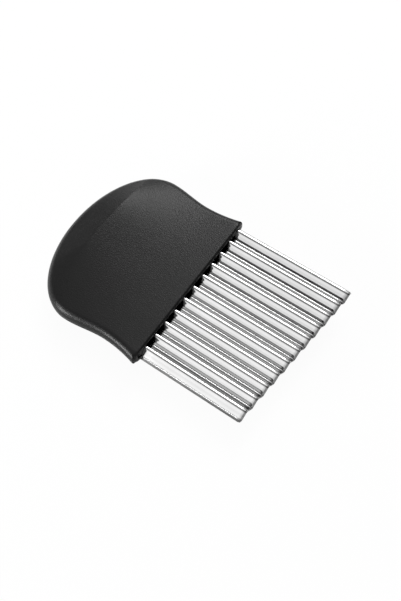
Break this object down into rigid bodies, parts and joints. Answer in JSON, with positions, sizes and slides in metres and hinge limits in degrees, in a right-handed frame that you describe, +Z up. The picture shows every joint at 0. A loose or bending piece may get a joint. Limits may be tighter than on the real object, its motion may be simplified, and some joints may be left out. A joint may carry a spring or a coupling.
{
  "type": "crinkle cutter",
  "caption": "Hand crinkle cutter: corrugated steel blade with a bevelled, slightly slanted edge, held in a wide rounded palm grip with a creased face, for cutting wavy slices.",
  "frame": {"origin": "middle of the bounding box at its lowest level, under the cutter lying flat", "axes": "+Y from the palm end to the cutting edge, +Z up out of the face seen in the picture, +X across the blade towards its shorter side"},
  "size_m": [0.0832, 0.1234, 0.0212],
  "materials": {
    "handle": "fine matte grain, black",
    "blade": "polished stainless"
  },
  "bodies": {
    "root": {"handle_upper_half": "handle", "handle_lower_half": "handle", "corrugated_blade": "blade"}
  },
  "joints": []
}
